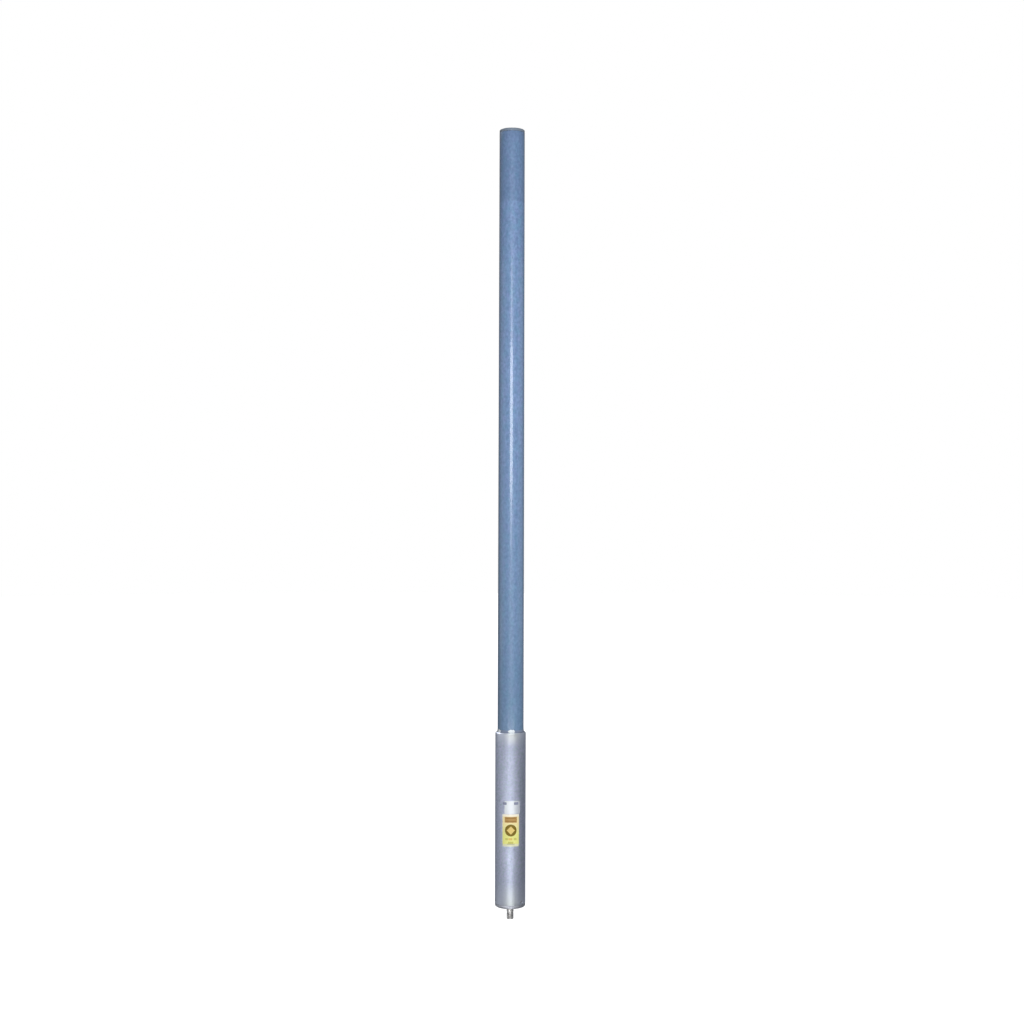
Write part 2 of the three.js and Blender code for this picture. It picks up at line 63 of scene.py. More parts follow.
SLEEVE_LOW, SLEEVE_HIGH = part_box("mounting_sleeve")
SLEEVE_RADIUS = SLEEVE_HIGH.x
SLEEVE_BORE = 30.16 * MM
SLEEVE_CHAMFER = 2.4 * MM
RADOME_LOW, RADOME_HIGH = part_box("radome")
RADOME_RADIUS = RADOME_HIGH.x
RADOME_TIP_RADIUS = 28.75 * MM
RADOME_WALL = 3.2 * MM
CAP_LOW, CAP_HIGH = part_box("radome_top_cap")
PLUG_LOW, PLUG_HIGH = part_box("base_plug")
JACK_LOW, JACK_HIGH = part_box("n_jack_body")

FRAME_BODY = "root"


# ---------------------------------------------------------------------------------------------------
# Camera, floor and light
# ---------------------------------------------------------------------------------------------------

VIEW_DISTANCE = 3.5
EYE_HEIGHT = 0.8988
EYE_SHIFT = 0.0019
PICTURE_WIDTH = 2.338
SENSOR_WIDTH = 36
CAMERA_ROLL = math.radians(-0.155)
LIGHT_PLANE = -3.6
SURROUND = 0.19
FLOOR_RADIUS = 14


def make_camera():
    data = bpy.data.cameras.new("camera")
    data.sensor_width = SENSOR_WIDTH
    data.lens = SENSOR_WIDTH * VIEW_DISTANCE / PICTURE_WIDTH
    camera = bpy.data.objects.new("camera", data)
    bpy.context.scene.collection.objects.link(camera)
    camera.location = (EYE_SHIFT, -VIEW_DISTANCE, EYE_HEIGHT)
    camera.rotation_euler = (math.radians(90), CAMERA_ROLL, 0)
    bpy.context.scene.camera = camera


def area_light(name, place, size, radiance, aim=None, glossy=True, diffuse=True):
    """A soft box that faces the antenna's axis at the height of aim, or at its own height. Its power gives it
    the stated radiance."""
    data = bpy.data.lights.new(name, "AREA")
    data.shape = "RECTANGLE"
    data.size, data.size_y = size
    data.energy = radiance * math.pi * size[0] * size[1]
    light = bpy.data.objects.new(name, data)
    bpy.context.scene.collection.objects.link(light)
    light.location = place
    inwards = Vector((-place[0], -place[1], 0 if aim is None else aim - place[2]))
    light.rotation_euler = inwards.to_track_quat("-Z", "Y").to_euler()
    light.visible_camera = False
    light.visible_glossy = glossy
    light.visible_diffuse = diffuse
    return light


def make_world():
    """White behind the object, and an even grey that lights it."""
    world = bpy.data.worlds.new("studio")
    bpy.context.scene.world = world
    world.use_nodes = True
    tree = world.node_tree
    tree.nodes.clear()
    seen = tree.nodes.new("ShaderNodeBackground")
    seen.inputs["Color"].default_value = (1, 1, 1, 1)
    lighting = tree.nodes.new("ShaderNodeBackground")
    lighting.inputs["Color"].default_value = (0.93, 0.97, 1.0, 1)
    lighting.inputs["Strength"].default_value = SURROUND
    rays = tree.nodes.new("ShaderNodeLightPath")
    mix = tree.nodes.new("ShaderNodeMixShader")
    output = tree.nodes.new("ShaderNodeOutputWorld")
    tree.links.new(rays.outputs["Is Camera Ray"], mix.inputs["Fac"])
    tree.links.new(lighting.outputs["Background"], mix.inputs[1])
    tree.links.new(seen.outputs["Background"], mix.inputs[2])
    tree.links.new(mix.outputs["Shader"], output.inputs["Surface"])


def make_floor():
    """White paper under the antenna. It is only seen, and takes no part in the lighting."""
    data = bpy.data.meshes.new("floor")
    shape = bmesh.new()
    bmesh.ops.create_circle(shape, cap_ends=True, segments=96, radius=FLOOR_RADIUS)
    shape.to_mesh(data)
    shape.free()
    floor = bpy.data.objects.new("floor", data)
    bpy.context.scene.collection.objects.link(floor)
    floor.location.z = JACK_LOW.z - 0.4 * MM
    floor.visible_glossy = False
    floor.visible_diffuse = False
    floor.visible_shadow = False
    paint = bpy.data.materials.new("floor_paint")
    paint.use_nodes = True
    shader = paint.node_tree.nodes["Principled BSDF"]
    shader.inputs["Base Color"].default_value = (0.86, 0.86, 0.87, 1)
    shader.inputs["Roughness"].default_value = 0.9
    shader.inputs["Specular IOR Level"].default_value = 0.1
    shader.inputs["Emission Color"].default_value = (1, 1, 1, 1)
    shader.inputs["Emission Strength"].default_value = 1
    data.materials.append(paint)


def mirrored_light(name, place, size, radiance, aim=None):
    """A soft box that shows in glossy surfaces and leaves matt ones alone."""
    return area_light(name, place, size, radiance, aim, diffuse=False)


def make_lights():
    """A broad fill for the matt surfaces, strips by the camera and boxes beside it that the tubes mirror, and
    far lights above and behind that the sloping edges mirror."""
    area_light("fill", (0.5, -3.5, 1.0), (2.5, 2.5), 6.4, glossy=False)

    # The radome's highlight, and the paler bands on both sides of it.
    mirrored_light("strip_core", (-0.02, LIGHT_PLANE, 1.33), (1.5, 0.7), 7.5)
    mirrored_light("strip_ends", (-0.02, LIGHT_PLANE, 1.4), (0.9, 1.3), 2.6)
    mirrored_light("wing_left", (-3.0, -0.4, 1.15), (3.6, 1.7), 0.42)
    mirrored_light("wing_right", (3.0, -0.2, 1.15), (3.6, 1.7), 0.42)

    # The sleeve mirrors what is low. Its head and foot have lights of their own.
    mirrored_light("low_wide", (-1.5, LIGHT_PLANE, -0.8), (2.6, 1.4), 0.48)
    mirrored_light("low_left", (-3.2, -2.6, -0.75), (2.4, 1.3), 0.62)
    mirrored_light("low_right", (2.9, -2.4, -0.7), (2.2, 1.4), 0.34)
    mirrored_light("low_narrow", (-0.08, LIGHT_PLANE, 0.5), (0.6, 0.7), 0.1)
    mirrored_light("head", (0.3, LIGHT_PLANE, -0.19), (3.8, 0.18), 3.3)
    mirrored_light("foot", (0.3, LIGHT_PLANE, -1.12), (2.8, 0.25), 3.3)
    mirrored_light("foot_low", (-0.08, LIGHT_PLANE, -1.3), (1.0, 0.4), 1.6)
    mirrored_light("under", (0, -0.9, -1.5), (1.2, 1.2), 1.3, aim=0)
    mirrored_light("side_left", (-3.0, 0.2, -0.4), (2.2, 1.8), 0.22)

    # The sleeve's chamfer and the sealant over it mirror what is high.
    joint = SLEEVE_HIGH.z
    mirrored_light("overhead", (0.07, -0.5, joint + 3.5), (1.5, 0.7), 2.6, aim=joint)
    mirrored_light("sky", (0, 0, joint + 7), (14, 14), 0.2)
    area_light("back_left", (-10, 9.5, joint + 10.5), (4.5, 4.6), 4.5, aim=joint)


# ---------------------------------------------------------------------------------------------------
# Materials
# ---------------------------------------------------------------------------------------------------

class Finish:
    """A Principled material that is built up from noise in the object's own coordinates."""

    def __init__(self, name, colour, roughness, metallic=0.0, coat=0.0, specular=0.5):
        self.material = bpy.data.materials.new(name)
        self.material.use_nodes = True
        self.tree = self.material.node_tree
        self.shader = self.tree.nodes["Principled BSDF"]
        self.set("Base Color", (*colour, 1))
        self.set("Roughness", roughness)
        self.set("Metallic", metallic)
        self.set("Specular IOR Level", specular)
        self.set("Coat Weight", coat)
        self.set("Coat Roughness", 0.12)
        self.colour = colour
        self.place = self.node("ShaderNodeTexCoord").outputs["Object"]

    def node(self, kind):
        return self.tree.nodes.new(kind)

    def set(self, socket, value):
        self.shader.inputs[socket].default_value = value

    def link(self, source, target):
        self.tree.links.new(source, target)

    def noise(self, size, stretch=(1, 1, 1), detail=3, seed=0.0):
        """Noise from 0 to 1 whose blotches are about size metres across, times stretch along each axis."""
        mapping = self.node("ShaderNodeMapping")
        mapping.inputs["Location"].default_value = (seed, seed * 0.7, seed * 1.3)
        mapping.inputs["Scale"].default_value = tuple(1 / (size * s) for s in stretch)
        self.link(self.place, mapping.inputs["Vector"])
        noise = self.node("ShaderNodeTexNoise")
        noise.inputs["Scale"].default_value = 1
        noise.inputs["Detail"].default_value = detail
        noise.inputs["Roughness"].default_value = 0.55
        self.link(mapping.outputs["Vector"], noise.inputs["Vector"])
        return noise.outputs["Fac"]

    def spread(self, source, low, high, start=0.3, end=0.7):
        """source, from start to end, as a number from low to high."""
        span = self.node("ShaderNodeMapRange")
        span.inputs["From Min"].default_value = start
        span.inputs["From Max"].default_value = end
        span.inputs["To Min"].default_value = low
        span.inputs["To Max"].default_value = high
        self.link(source, span.inputs["Value"])
        return span.outputs["Result"]

    def along(self, axis):
        """How far along an axis the point lies, in metres."""
        split = self.node("ShaderNodeSeparateXYZ")
        self.link(self.place, split.inputs["Vector"])
        return split.outputs[axis]

    def both(self, one, other):
        """The product of two numbers."""
        product = self.node("ShaderNodeMath")
        product.operation = "MULTIPLY"
        self.link(one, product.inputs[0])
        self.link(other, product.inputs[1])
        return product.outputs["Value"]

    def tint(self, factor, colour, under=None):
        """Lays colour over what is under, or over the base colour, as far as factor says."""
        mix = self.node("ShaderNodeMix")
        mix.data_type = "RGBA"
        self.link(factor, mix.inputs["Factor"])
        if under is None:
            mix.inputs["A"].default_value = (*self.colour, 1)
        else:
            self.link(under, mix.inputs["A"])
        mix.inputs["B"].default_value = (*colour, 1)
        self.link(mix.outputs["Result"], self.shader.inputs["Base Color"])
        return mix.outputs["Result"]

    def add(self, source, share, under):
        """share times source, added to under."""
        total = self.node("ShaderNodeMath")
        total.operation = "MULTIPLY_ADD"
        self.link(source, total.inputs[0])
        total.inputs[1].default_value = share
        self.link(under, total.inputs[2])
        return total.outputs["Value"]

    def rough(self, source):
        self.link(source, self.shader.inputs["Roughness"])

    def bump(self, source, depth, under=None):
        """Relief of depth metres. under is an earlier bump's output."""
        bump = self.node("ShaderNodeBump")
        bump.inputs["Distance"].default_value = depth
        bump.inputs["Strength"].default_value = 1
        self.link(source, bump.inputs["Height"])
        if under is not None:
            self.link(under, bump.inputs["Normal"])
        self.link(bump.outputs["Normal"], self.shader.inputs["Normal"])
        return bump.outputs["Normal"]


def radome_gelcoat():
    """Slate-blue gelcoat: soft mottling, fine fibre streaks, a deeper band at the top, and painted shade that
    darkens its lower part."""
    f = Finish("radome_gelcoat", (0.175, 0.295, 0.53), 0.45, coat=1.0)
    f.set("Coat Roughness", 0.09)
    tone = None
    for size, share, colour in (
        (13 * MM, 0.8, (0.12, 0.31, 0.47)),
        (11 * MM, 0.7, (0.23, 0.28, 0.56)),
        (6 * MM, 0.45, (0.27, 0.42, 0.66)),
        (5 * MM, 0.7, (0.10, 0.18, 0.34)),
    ):
        blotch = f.noise(size, (1, 1, 1.3), detail=2, seed=200 * size / MM)
        tone = f.tint(f.spread(blotch, 0, share, 0.35, 0.7), colour, tone)
    tone = f.tint(f.spread(f.noise(1.2 * MM, (1, 1, 18), seed=5), 0, 0.15), (0.25, 0.37, 0.60), tone)
    band_foot = RADOME_HIGH.z - 161 * MM
    band = f.spread(f.along("Z"), 0, 0.3, band_foot, band_foot + 4 * MM)
    tone = f.tint(band, (0.09, 0.15, 0.27), tone)
    # Painted shade: darker and more teal towards the sleeve.
    low = f.spread(f.along("Z"), 0.5, 0, SLEEVE_HIGH.z, SLEEVE_HIGH.z + 750 * MM)
    f.tint(low, (0.10, 0.19, 0.28), tone)
    f.rough(f.spread(f.noise(9 * MM, (1, 1, 3), seed=9), 0.4, 0.5))
    weave = f.bump(f.noise(0.9 * MM, (1, 1, 30), seed=11), 0.025 * MM)
    f.bump(f.noise(5 * MM, (1, 1, 2), seed=13), 0.05 * MM, weave)
    return f.material


def brushed(name, colour, along, patches):
    """Satin metal with fine marks. along stretches the marks: up the tube, or around a turned face. patches
    are colours that lie over it in soft blotches. Gives the finish and its colour so far."""
    f = Finish(name, colour, 0.4, metallic=1.0)
    lines = f.noise(0.3 * MM, along, detail=4, seed=2)
    tone = f.tint(f.spread(lines, 0, 0.5), tuple(min(1, c * 1.15) for c in colour))
    for number, patch in enumerate(patches):
        blotch = f.noise(5.5 * MM, (1, 1, 0.8), detail=2, seed=20 + number)
        tone = f.tint(f.spread(blotch, 0, 0.8, 0.4, 0.75), patch, tone)
    pits = f.spread(f.noise(0.8 * MM, seed=4), 0, 0.5, 0.62, 0.75)
    tone = f.tint(pits, tuple(c * 0.5 for c in colour), tone)
    around = f.node("ShaderNodeTangent")
    around.direction_type = "RADIAL"
    around.axis = "Z"
    f.link(around.outputs["Tangent"], f.shader.inputs["Tangent"])
    f.set("Anisotropic", 0.6)
    fine = f.bump(lines, 0.01 * MM)
    f.bump(f.noise(9 * MM, (1, 1, 1.5), seed=8), 0.012 * MM, fine)
    return f, tone


def sleeve_aluminium():
    """Satin aluminium tube. It is more polished towards its head and foot, and duller on its chamfer. Painted
    highlight makes its head and foot paler, palest in a stripe near X = 0 there."""
    f, tone = brushed("sleeve_aluminium", (0.64, 0.68, 0.90), (1, 1, 60),
                      ((0.46, 0.51, 0.66), (0.78, 0.78, 1.0), (0.54, 0.66, 0.74)))
    top = SLEEVE_HIGH.z
    head = f.spread(f.along("Z"), 0, 1, top - 30 * MM, top - 6 * MM)
    foot = f.spread(f.along("Z"), 1, 0, 12 * MM, 62 * MM)
    chamfer = f.spread(f.along("Z"), 0, 1, top - SLEEVE_CHAMFER - 0.4 * MM, top - SLEEVE_CHAMFER + 0.2 * MM)
    # Painted highlight: the head and foot are tinted paler, and a stripe near X = 0 there is paler still.
    inner, outer = 5 * MM, 20 * MM
    for end, middle, colour in ((head, 4 * MM, (0.93, 0.97, 1.0)), (foot, 1 * MM, (0.90, 0.96, 1.0))):
        left = f.spread(f.along("X"), 0, 1, middle - outer, middle - inner)
        right = f.spread(f.along("X"), 1, 0, middle + inner, middle + outer)
        tone = f.tint(end, (0.80, 0.85, 1.0), tone)
        tone = f.tint(f.both(end, f.both(left, right)), colour, tone)
    shine = f.spread(f.noise(5 * MM, (1, 1, 1.5), seed=6), 0.34, 0.42)
    for place, share in ((head, -0.03), (foot, -0.03), (chamfer, 0.04)):
        shine = f.add(place, share, shine)
    f.rough(shine)
    return f.material


def plug_aluminium():
    """Turned aluminium, with marks that run round it."""
    f, _ = brushed("plug_aluminium", (0.66, 0.68, 0.76), (8, 8, 1), ((0.56, 0.58, 0.66),))
    f.rough(f.spread(f.noise(6 * MM, seed=6), 0.26, 0.36))
    return f.material


def plain_metal(name, colour, roughness, tarnish):
    """Plated or drawn metal, with patches of tarnish and fine grain."""
    f = Finish(name, colour, roughness, metallic=1.0)
    patch = f.spread(f.noise(5 * MM, seed=1), 0, 0.5, 0.4, 0.75)
    toned = f.tint(patch, tarnish)
    grain = f.noise(0.3 * MM, (1, 1, 6), seed=2)
    f.tint(f.spread(grain, 0, 0.25), tuple(c * 0.8 for c in colour), toned)
    f.rough(f.spread(f.noise(3 * MM, seed=3), roughness * 0.8, roughness * 1.3))
    f.bump(grain, 0.006 * MM)
    return f.material


def plastic(name, colour, roughness, grain, subsurface=0.0, coat=0.0):
    """Moulded or machined plastic with a fine grain of the given size."""
    f = Finish(name, colour, roughness, coat=coat)
    if subsurface:
        f.set("Subsurface Weight", subsurface)
        f.set("Subsurface Radius", (1, 1, 1))
        f.set("Subsurface Scale", 0.6 * MM)
    dust = f.spread(f.noise(6 * MM, seed=1), 0, 0.3)
    f.tint(dust, tuple(min(1, c * 1.25 + 0.01) for c in colour))
    f.rough(f.spread(f.noise(2 * MM, seed=2), roughness * 0.85, min(1, roughness * 1.15)))
    f.bump(f.noise(grain, seed=3), grain * 0.08)
    return f.material


def foam_cells():
    """Closed-cell foam: round cells in relief, with painted shade darkening the grooves between them."""
    f = Finish("foam_cells", (0.80, 0.76, 0.66), 0.95)
    cells = f.node("ShaderNodeTexVoronoi")
    cells.inputs["Scale"].default_value = 1 / (1.6 * MM)
    f.link(f.place, cells.inputs["Vector"])
    # Painted shade: darker in the grooves between the cells.
    f.tint(f.spread(cells.outputs["Distance"], 0, 0.6, 0.3, 0.9), (0.55, 0.50, 0.40))
    f.bump(cells.outputs["Distance"], -0.3 * MM)
    return f.material


def silver_foil(name, colour):
    """Satin silver foil, a little uneven."""
    f = Finish(name, colour, 0.42, metallic=1.0, coat=0.1)
    f.tint(f.spread(f.noise(6 * MM, seed=1), 0, 0.6), tuple(c * 0.84 for c in colour))
    f.rough(f.spread(f.noise(4 * MM, seed=2), 0.36, 0.5))
    f.bump(f.noise(6 * MM, seed=3), 0.02 * MM)
    return f.material


def panel_ink():
    """White ink on foil, with painted shade that greys it towards its right-hand edge."""
    f = Finish("panel_ink", (0.81, 0.85, 0.89), 0.4, metallic=0.3, coat=0.1)
    # Painted shade: the ink greys towards its right-hand edge.
    painted_shade_right = f.spread(f.along("X"), 0, 0.9, 7 * MM, 19 * MM)
    thin = f.tint(painted_shade_right, (0.50, 0.53, 0.60))
    f.tint(f.spread(f.noise(7 * MM, seed=1), 0, 0.2), (0.78, 0.82, 0.90), thin)
    f.rough(f.spread(f.noise(3 * MM, seed=2), 0.34, 0.46))
    return f.material


def caution_film():
    """Pale yellow film, warmer towards its upper end and paler at its two ends."""
    low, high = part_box("caution_label")
    tall = high.z - low.z
    f = Finish("caution_film", (0.80, 0.80, 0.27), 0.38, coat=0.1)
    aged = f.tint(f.spread(f.noise(7 * MM, seed=1), 0, 0.4), (0.74, 0.69, 0.20))
    warm = f.spread(f.along("Z"), 0, 0.85, low.z + 0.35 * tall, low.z + 0.75 * tall)
    warmed = f.tint(warm, (0.90, 0.75, 0.42), aged)
    foot = f.spread(f.along("Z"), 0.8, 0, low.z + 4 * MM, low.z + 6.5 * MM)
    footed = f.tint(foot, (0.70, 0.70, 0.56), warmed)
    head = f.spread(f.along("Z"), 0, 0.9, high.z - 6.5 * MM, high.z - 4 * MM)
    f.tint(head, (0.93, 0.88, 0.74), footed)
    f.rough(f.spread(f.noise(3 * MM, seed=2), 0.32, 0.46))
    f.bump(f.noise(6 * MM, seed=3), 0.03 * MM)
    return f.material


def print_ink(name, colour):
    """Printed ink, thin and a little patchy."""
    f = Finish(name, colour, 0.45, specular=0.25)
    f.tint(f.spread(f.noise(2.5 * MM, seed=1), 0, 0.35), tuple(min(1, c * 1.35 + 0.01) for c in colour))
    f.rough(f.spread(f.noise(2 * MM, seed=2), 0.4, 0.52))
    return f.material


def make_finishes():
    """One material for each slot of the record."""
    return {
        "radome_gelcoat": radome_gelcoat(),
        "cap_plastic": plastic("cap_plastic", (0.19, 0.235, 0.30), 0.5, 0.5 * MM),
        "sleeve_aluminium": sleeve_aluminium(),
        "plug_aluminium": plug_aluminium(),
        "sealant": plastic("sealant", (0.20, 0.24, 0.34), 0.4, 1.5 * MM, subsurface=0.2),
        "nickel_plate": plain_metal("nickel_plate", (0.78, 0.77, 0.76), 0.26, (0.60, 0.57, 0.54)),
        "stainless_steel": plain_metal("stainless_steel", (0.42, 0.42, 0.44), 0.32, (0.30, 0.29, 0.29)),
        "gold_plate": plain_metal("gold_plate", (0.86, 0.62, 0.26), 0.2, (0.70, 0.46, 0.18)),
        "ptfe": plastic("ptfe", (0.86, 0.86, 0.84), 0.45, 0.4 * MM, subsurface=0.3),
        "polyethylene": plastic("polyethylene", (0.78, 0.79, 0.77), 0.4, 0.4 * MM, subsurface=0.4),
        "acetal": plastic("acetal", (0.02, 0.02, 0.022), 0.4, 0.3 * MM),
        "brass": plain_metal("brass", (0.70, 0.49, 0.20), 0.28, (0.42, 0.26, 0.10)),
        "copper": plain_metal("copper", (0.74, 0.36, 0.22), 0.28, (0.40, 0.18, 0.10)),
        "foam": foam_cells(),
        "rubber": plastic("rubber", (0.012, 0.012, 0.013), 0.7, 0.4 * MM),
        "nameplate_film": silver_foil("nameplate_film", (0.66, 0.70, 0.90)),
        "caution_film": caution_film(),
    }


# ---------------------------------------------------------------------------------------------------
# Mesh helpers
# ---------------------------------------------------------------------------------------------------

def finish_mesh(name, shape, sharp=35):
    """Makes a piece from a bmesh: clean, facing out, smooth but for edges sharper than the angle."""
    bmesh.ops.remove_doubles(shape, verts=shape.verts, dist=1e-7)
    bmesh.ops.recalc_face_normals(shape, faces=shape.faces)
    data = bpy.data.meshes.new(name)
    shape.to_mesh(data)
    shape.free()
    data.shade_smooth()
    data.set_sharp_from_angle(angle=math.radians(sharp))
    piece = bpy.data.objects.new(name, data)
    bpy.context.scene.collection.objects.link(piece)
    return piece


def rounded(corners, steps=5):
    """An outline of (radius, height) points from corners (radius, height, fillet)."""
    outline = []
    count = len(corners)
    for index, (radius, height, fillet) in enumerate(corners):
        here = Vector((radius, height))
        if not fillet:
            outline.append(tuple(here))
            continue
        back = (Vector(corners[index - 1][:2]) - here).normalized()
        ahead = (Vector(corners[(index + 1) % count][:2]) - here).normalized()
        half = back.angle(ahead) / 2
        middle = here + (back + ahead).normalized() * (fillet / math.sin(half))
        start = here + back * (fillet / math.tan(half)) - middle
        end = here + ahead * (fillet / math.tan(half)) - middle
        for step in range(steps + 1):
            share = step / steps
            turn = math.pi - 2 * half
            along = (start * math.sin((1 - share) * turn) + end * math.sin(share * turn)) / math.sin(turn)
            outline.append(tuple(middle + along))
    return outline


def lathe(name, outline, steps=SMOOTH_STEPS, radius_at=None, sharp=35):
    """A solid of revolution about Z. The outline closes on itself, or starts and ends on the axis.
    radius_at(radius, height, angle) may change a point's radius."""
    shape = bmesh.new()
    rings = []
    for radius, height in outline:
        ring = []
        for step in range(steps):
            angle = FULL_TURN * step / steps
            r = radius_at(radius, height, angle) if radius_at else radius
            ring.append(shape.verts.new((r * math.cos(angle), r * math.sin(angle), height)))
        rings.append(ring)
    on_axis = outline[0][0] == 0 and outline[-1][0] == 0
    spans = len(rings) - 1 if on_axis else len(rings)
    for index in range(spans):
        low, high = rings[index], rings[(index + 1) % len(rings)]
        for step in range(steps):
            after = (step + 1) % steps
            shape.faces.new((low[step], low[after], high[after], high[step]))
    return finish_mesh(name, shape, sharp)


def rod(name, radius, low, high, chamfer, steps=SMALL_STEPS):
    """A solid bar about Z with chamfered ends."""
    return lathe(name, [(0, low), (radius - chamfer, low), (radius, low + chamfer),
                        (radius, high - chamfer), (radius - chamfer, high), (0, high)], steps)


def prism(name, flats, low, high, turn=0.0):
    """A hexagonal bar about Z whose corners are turned down at both ends, as on a nut."""
    corner = flats / math.sqrt(3)
    trim = flats * 0.035

    def hexagonal(radius, height, angle):
        sector = (angle + turn) % (math.pi / 3) - math.pi / 6
        return min(radius, flats / 2 / math.cos(sector))

    outline = [(0, low), (flats * 0.48, low), (corner, low + trim), (corner, high - trim),
               (flats * 0.48, high), (0, high)]
    return lathe(name, outline, 96, hexagonal, sharp=12)


def bridge(shape, rows):
    """Joins rows of vertices, each a closed section, into a solid with a cap on its first and last row."""
    count = len(rows[0])
    for first, second in zip(rows, rows[1:]):
        for side in range(count):
            after = (side + 1) % count
            shape.faces.new((first[side], first[after], second[after], second[side]))
    shape.faces.new(rows[0])
    shape.faces.new(reversed(rows[-1]))


def carve(piece, operation, tools, sharp=35):
    """Cuts tools from a piece, or joins them to it, and removes them."""
    for tool in tools:
        change = piece.modifiers.new("carve", "BOOLEAN")
        change.operation = operation
        change.solver = "EXACT"
        change.object = tool
    bpy.context.view_layer.update()
    graph = bpy.context.evaluated_depsgraph_get()
    result = bpy.data.meshes.new_from_object(piece.evaluated_get(graph), depsgraph=graph)
    piece.modifiers.clear()
    piece.data = result
    for tool in tools:
        bpy.data.objects.remove(tool)
    result.shade_smooth()
    result.set_sharp_from_angle(angle=math.radians(sharp))
    return piece


def radial(piece, degrees, height):
    """Turns a piece made about Z so that its Z runs outwards at an angle round the sleeve."""
    angle = math.radians(degrees)
    out = Vector((math.cos(angle), math.sin(angle), 0))
    turn = out.to_track_quat("Z", "Y").to_matrix().to_4x4()
    turn.translation = (0, 0, height)
    piece.data.transform(turn)
    return piece


finishes = make_finishes()


def dress(piece, slot, *nodes, material=None):
    """Gives a piece its slot's finish, or material, and its body, and hides the CAD nodes that it stands for.
    """
    piece.data.materials.clear()
    piece.data.materials.append(material or finishes[slot])
    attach(piece, FRAME_BODY)
    if nodes:
        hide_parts(*nodes)
    return piece


# ---------------------------------------------------------------------------------------------------
# Radome, cap and seal
# ---------------------------------------------------------------------------------------------------

def radome_radius(height):
    """Outer radius of the tapered radome."""
    along = max(0, (height - SLEEVE_HIGH.z) / (RADOME_HIGH.z - SLEEVE_HIGH.z))
    return RADOME_RADIUS + (RADOME_TIP_RADIUS - RADOME_RADIUS) * along


def make_radome():
    """Tapered tube with an eased upper edge."""
    edge = 0.7 * MM
    levels = 40
    climb = RADOME_HIGH.z - edge - SLEEVE_HIGH.z
    heights = [SLEEVE_HIGH.z + climb * n / levels for n in range(levels + 1)]
    outside = [(RADOME_RADIUS, RADOME_LOW.z)]
    outside += [(radome_radius(h), h) for h in heights]
    outside += [(radome_radius(RADOME_HIGH.z) - edge * 0.3, RADOME_HIGH.z - edge * 0.3)]
    outside += [(radome_radius(RADOME_HIGH.z) - edge, RADOME_HIGH.z)]
    inside = [(radome_radius(h) - RADOME_WALL, h) for h in (RADOME_HIGH.z, *reversed(heights), RADOME_LOW.z)]
    dress(lathe("radome", outside + inside), "radome_gelcoat", "radome")


def make_cap():
    """Moulded cap: a low dome with a rounded edge, a shallow ring groove and a gate mark in its middle."""
    spigot = RADOME_TIP_RADIUS - RADOME_WALL - 0.35 * MM
    foot = RADOME_HIGH.z + 0.3 * MM
    rim = CAP_HIGH.x
    ceiling = foot + 1.5 * MM

    def dome(share, sink=0.0):
        return (rim * share, CAP_HIGH.z - 0.9 * MM * share ** 2 - sink, 0)

    corners = [
        (0, ceiling, 0),
        (spigot - 2.4 * MM, ceiling, 0.5 * MM),
        (spigot - 2.4 * MM, CAP_LOW.z, 0.4 * MM),
        (spigot, CAP_LOW.z, 0.8 * MM),
        (spigot, foot, 0),
        (rim, foot, 0.5 * MM),
        (rim, dome(1)[1], 2 * MM),
        dome(0.8), dome(0.785, 0.5 * MM), dome(0.765, 0.5 * MM), dome(0.75),
        dome(0.6), dome(0.45), dome(0.3), dome(0.2),
        dome(0.1), dome(0.095, 0.3 * MM), dome(0.03, 0.3 * MM), dome(0.025), dome(0),
    ]
    dress(lathe("radome_top_cap", rounded(corners)), "cap_plastic", "radome_top_cap")


def make_seal():
    """Bead of sealant, smoothed by hand and so a little uneven."""
    low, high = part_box("weather_seal")
    inner = RADOME_RADIUS + 0.1 * MM
    wide = high.x - inner
    tall = high.z - low.z

    def uneven(radius, height, angle):
        if radius <= inner:
            return radius
        wave = math.sin(3 * angle + 0.7) + 0.6 * math.sin(7 * angle + 2.1) + 0.4 * math.sin(13 * angle)
        return radius + wave * 0.12 * MM * (radius - inner) / wide

    curve = [(inner + wide * (1 - math.sin(turn)), low.z + tall * (1 - math.cos(turn)))
             for turn in (math.radians(9 * n) for n in range(11))]
    outline = [(inner, low.z), *curve]
    outline[-1] = (inner, high.z)
    dress(lathe("weather_seal", outline, radius_at=uneven), "sealant", "weather_seal")


def smear_section(size, rise, foot, inner):
    """The outline of a smear at one angle: thick at its foot, thin at its top and flat on the radome."""
    steps = 8
    film, heel = 0.4 * MM, 2.2 * MM
    section = [(inner, foot)]
    for step in range(steps + 1):
        slope = math.pi / 2 * step / steps
        thick = film + heel * min(1, size) * (1 - math.sin(slope)) ** 0.8
        section.append((inner + thick, foot + rise * size * (1 - math.cos(slope))))
    section.append((inner, foot + rise * size))
    return section


def smear(name, turn, half, rise):
    """A closed patch of sealant round the radome: turn is its middle and half its half width, in degrees."""
    columns = 36
    foot = SLEEVE_HIGH.z + 0.1 * MM
    inner = RADOME_RADIUS - 0.1 * MM
    shape = bmesh.new()
    rows = []
    for column in range(columns + 1):
        off = 2 * column / columns - 1
        angle = math.radians(turn + half * off)
        ripple = 1 + 0.12 * math.sin(9 * angle) + 0.07 * math.sin(23 * angle)
        size = max(0.05, math.sqrt(1 - off ** 2)) * ripple
        section = smear_section(size, rise, foot, inner)
        rows.append([shape.verts.new((r * math.cos(angle), r * math.sin(angle), z)) for r, z in section])
    bridge(shape, rows)
    return finish_mesh(name, shape, sharp=60)


